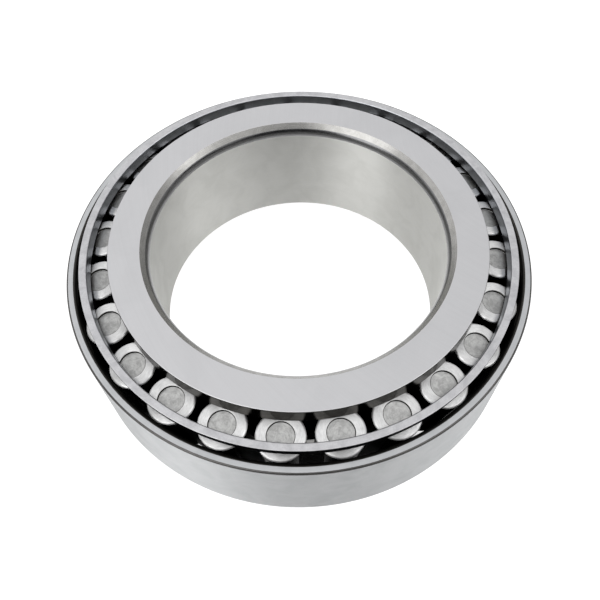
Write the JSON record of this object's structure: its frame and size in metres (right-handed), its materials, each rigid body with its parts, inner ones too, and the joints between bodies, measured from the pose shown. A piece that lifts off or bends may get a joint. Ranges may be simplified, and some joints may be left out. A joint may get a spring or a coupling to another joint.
{
  "type": "tapered roller bearing",
  "caption": "Single-row tapered roller bearing: separable outer ring, inner ring with two ribs, pressed cage and tapered rollers.",
  "frame": {"origin": "centre of the outer ring's back face, on the bearing's axis", "axes": "+Z along the axis, towards the inner ring's large back face; +X through roller_01"},
  "size_m": [0.11, 0.11, 0.031],
  "materials": {
    "ring_steel": "ground bearing steel, fine circumferential grain",
    "roller_steel": "ground bearing steel, bright end faces with a dull shallow recess",
    "cage_steel": "pressed steel sheet, satin, with a bright turned rim"
  },
  "bodies": {
    "outer_ring": {"outer_ring": "ring_steel"},
    "inner_ring": {"inner_ring": "ring_steel"},
    "cage": {"cage": "cage_steel"},
    "roller_01": {"roller_01": "roller_steel"},
    "roller_02": {"roller_02": "roller_steel"},
    "roller_03": {"roller_03": "roller_steel"},
    "roller_04": {"roller_04": "roller_steel"},
    "roller_05": {"roller_05": "roller_steel"},
    "roller_06": {"roller_06": "roller_steel"},
    "roller_07": {"roller_07": "roller_steel"},
    "roller_08": {"roller_08": "roller_steel"},
    "roller_09": {"roller_09": "roller_steel"},
    "roller_10": {"roller_10": "roller_steel"},
    "roller_11": {"roller_11": "roller_steel"},
    "roller_12": {"roller_12": "roller_steel"},
    "roller_13": {"roller_13": "roller_steel"},
    "roller_14": {"roller_14": "roller_steel"},
    "roller_15": {"roller_15": "roller_steel"},
    "roller_16": {"roller_16": "roller_steel"},
    "roller_17": {"roller_17": "roller_steel"},
    "roller_18": {"roller_18": "roller_steel"},
    "roller_19": {"roller_19": "roller_steel"},
    "roller_20": {"roller_20": "roller_steel"},
    "roller_21": {"roller_21": "roller_steel"},
    "roller_22": {"roller_22": "roller_steel"},
    "roller_23": {"roller_23": "roller_steel"},
    "roller_24": {"roller_24": "roller_steel"}
  },
  "joints": [
    {"name": "inner_ring_spin", "type": "hinge", "parent": "outer_ring", "child": "inner_ring", "pos_m": [0, 0, 0.0155], "axis": [0, 0, 1], "continuous": true},
    {"name": "cage_spin", "type": "hinge", "parent": "outer_ring", "child": "cage", "pos_m": [0, 0, 0.0155], "axis": [0, 0, 1], "continuous": true},
    {"name": "roller_01_spin", "type": "hinge", "parent": "cage", "child": "roller_01", "pos_m": [0.04538, 0, 0.01511], "axis": [0.168, 0, 0.9858], "continuous": true},
    {"name": "roller_02_spin", "type": "hinge", "parent": "cage", "child": "roller_02", "pos_m": [0.04384, 0.01175, 0.01511], "axis": [0.1623, 0.0435, 0.9858], "continuous": true},
    {"name": "roller_03_spin", "type": "hinge", "parent": "cage", "child": "roller_03", "pos_m": [0.0393, 0.02269, 0.01511], "axis": [0.1455, 0.084, 0.9858], "continuous": true},
    {"name": "roller_04_spin", "type": "hinge", "parent": "cage", "child": "roller_04", "pos_m": [0.03209, 0.03209, 0.01511], "axis": [0.1188, 0.1188, 0.9858], "continuous": true},
    {"name": "roller_05_spin", "type": "hinge", "parent": "cage", "child": "roller_05", "pos_m": [0.02269, 0.0393, 0.01511], "axis": [0.084, 0.1455, 0.9858], "continuous": true},
    {"name": "roller_06_spin", "type": "hinge", "parent": "cage", "child": "roller_06", "pos_m": [0.01175, 0.04384, 0.01511], "axis": [0.0435, 0.1623, 0.9858], "continuous": true},
    {"name": "roller_07_spin", "type": "hinge", "parent": "cage", "child": "roller_07", "pos_m": [0, 0.04538, 0.01511], "axis": [0, 0.168, 0.9858], "continuous": true},
    {"name": "roller_08_spin", "type": "hinge", "parent": "cage", "child": "roller_08", "pos_m": [-0.01175, 0.04384, 0.01511], "axis": [-0.0435, 0.1623, 0.9858], "continuous": true},
    {"name": "roller_09_spin", "type": "hinge", "parent": "cage", "child": "roller_09", "pos_m": [-0.02269, 0.0393, 0.01511], "axis": [-0.084, 0.1455, 0.9858], "continuous": true},
    {"name": "roller_10_spin", "type": "hinge", "parent": "cage", "child": "roller_10", "pos_m": [-0.03209, 0.03209, 0.01511], "axis": [-0.1188, 0.1188, 0.9858], "continuous": true},
    {"name": "roller_11_spin", "type": "hinge", "parent": "cage", "child": "roller_11", "pos_m": [-0.0393, 0.02269, 0.01511], "axis": [-0.1455, 0.084, 0.9858], "continuous": true},
    {"name": "roller_12_spin", "type": "hinge", "parent": "cage", "child": "roller_12", "pos_m": [-0.04384, 0.01175, 0.01511], "axis": [-0.1623, 0.0435, 0.9858], "continuous": true},
    {"name": "roller_13_spin", "type": "hinge", "parent": "cage", "child": "roller_13", "pos_m": [-0.04538, 0, 0.01511], "axis": [-0.168, 0, 0.9858], "continuous": true},
    {"name": "roller_14_spin", "type": "hinge", "parent": "cage", "child": "roller_14", "pos_m": [-0.04384, -0.01175, 0.01511], "axis": [-0.1623, -0.0435, 0.9858], "continuous": true},
    {"name": "roller_15_spin", "type": "hinge", "parent": "cage", "child": "roller_15", "pos_m": [-0.0393, -0.02269, 0.01511], "axis": [-0.1455, -0.084, 0.9858], "continuous": true},
    {"name": "roller_16_spin", "type": "hinge", "parent": "cage", "child": "roller_16", "pos_m": [-0.03209, -0.03209, 0.01511], "axis": [-0.1188, -0.1188, 0.9858], "continuous": true},
    {"name": "roller_17_spin", "type": "hinge", "parent": "cage", "child": "roller_17", "pos_m": [-0.02269, -0.0393, 0.01511], "axis": [-0.084, -0.1455, 0.9858], "continuous": true},
    {"name": "roller_18_spin", "type": "hinge", "parent": "cage", "child": "roller_18", "pos_m": [-0.01175, -0.04384, 0.01511], "axis": [-0.0435, -0.1623, 0.9858], "continuous": true},
    {"name": "roller_19_spin", "type": "hinge", "parent": "cage", "child": "roller_19", "pos_m": [0, -0.04538, 0.01511], "axis": [0, -0.168, 0.9858], "continuous": true},
    {"name": "roller_20_spin", "type": "hinge", "parent": "cage", "child": "roller_20", "pos_m": [0.01175, -0.04384, 0.01511], "axis": [0.0435, -0.1623, 0.9858], "continuous": true},
    {"name": "roller_21_spin", "type": "hinge", "parent": "cage", "child": "roller_21", "pos_m": [0.02269, -0.0393, 0.01511], "axis": [0.084, -0.1455, 0.9858], "continuous": true},
    {"name": "roller_22_spin", "type": "hinge", "parent": "cage", "child": "roller_22", "pos_m": [0.03209, -0.03209, 0.01511], "axis": [0.1188, -0.1188, 0.9858], "continuous": true},
    {"name": "roller_23_spin", "type": "hinge", "parent": "cage", "child": "roller_23", "pos_m": [0.0393, -0.02269, 0.01511], "axis": [0.1455, -0.084, 0.9858], "continuous": true},
    {"name": "roller_24_spin", "type": "hinge", "parent": "cage", "child": "roller_24", "pos_m": [0.04384, -0.01175, 0.01511], "axis": [0.1623, -0.0435, 0.9858], "continuous": true}
  ],
  "couplings": [
    {"joint": "cage_spin", "follows": "inner_ring_spin", "ratio": 0.44469},
    {"joint": "roller_01_spin", "follows": "inner_ring_spin", "ratio": -4.4013},
    {"joint": "roller_02_spin", "follows": "inner_ring_spin", "ratio": -4.4013},
    {"joint": "roller_03_spin", "follows": "inner_ring_spin", "ratio": -4.4013},
    {"joint": "roller_04_spin", "follows": "inner_ring_spin", "ratio": -4.4013},
    {"joint": "roller_05_spin", "follows": "inner_ring_spin", "ratio": -4.4013},
    {"joint": "roller_06_spin", "follows": "inner_ring_spin", "ratio": -4.4013},
    {"joint": "roller_07_spin", "follows": "inner_ring_spin", "ratio": -4.4013},
    {"joint": "roller_08_spin", "follows": "inner_ring_spin", "ratio": -4.4013},
    {"joint": "roller_09_spin", "follows": "inner_ring_spin", "ratio": -4.4013},
    {"joint": "roller_10_spin", "follows": "inner_ring_spin", "ratio": -4.4013},
    {"joint": "roller_11_spin", "follows": "inner_ring_spin", "ratio": -4.4013},
    {"joint": "roller_12_spin", "follows": "inner_ring_spin", "ratio": -4.4013},
    {"joint": "roller_13_spin", "follows": "inner_ring_spin", "ratio": -4.4013},
    {"joint": "roller_14_spin", "follows": "inner_ring_spin", "ratio": -4.4013},
    {"joint": "roller_15_spin", "follows": "inner_ring_spin", "ratio": -4.4013},
    {"joint": "roller_16_spin", "follows": "inner_ring_spin", "ratio": -4.4013},
    {"joint": "roller_17_spin", "follows": "inner_ring_spin", "ratio": -4.4013},
    {"joint": "roller_18_spin", "follows": "inner_ring_spin", "ratio": -4.4013},
    {"joint": "roller_19_spin", "follows": "inner_ring_spin", "ratio": -4.4013},
    {"joint": "roller_20_spin", "follows": "inner_ring_spin", "ratio": -4.4013},
    {"joint": "roller_21_spin", "follows": "inner_ring_spin", "ratio": -4.4013},
    {"joint": "roller_22_spin", "follows": "inner_ring_spin", "ratio": -4.4013},
    {"joint": "roller_23_spin", "follows": "inner_ring_spin", "ratio": -4.4013},
    {"joint": "roller_24_spin", "follows": "inner_ring_spin", "ratio": -4.4013}
  ]
}
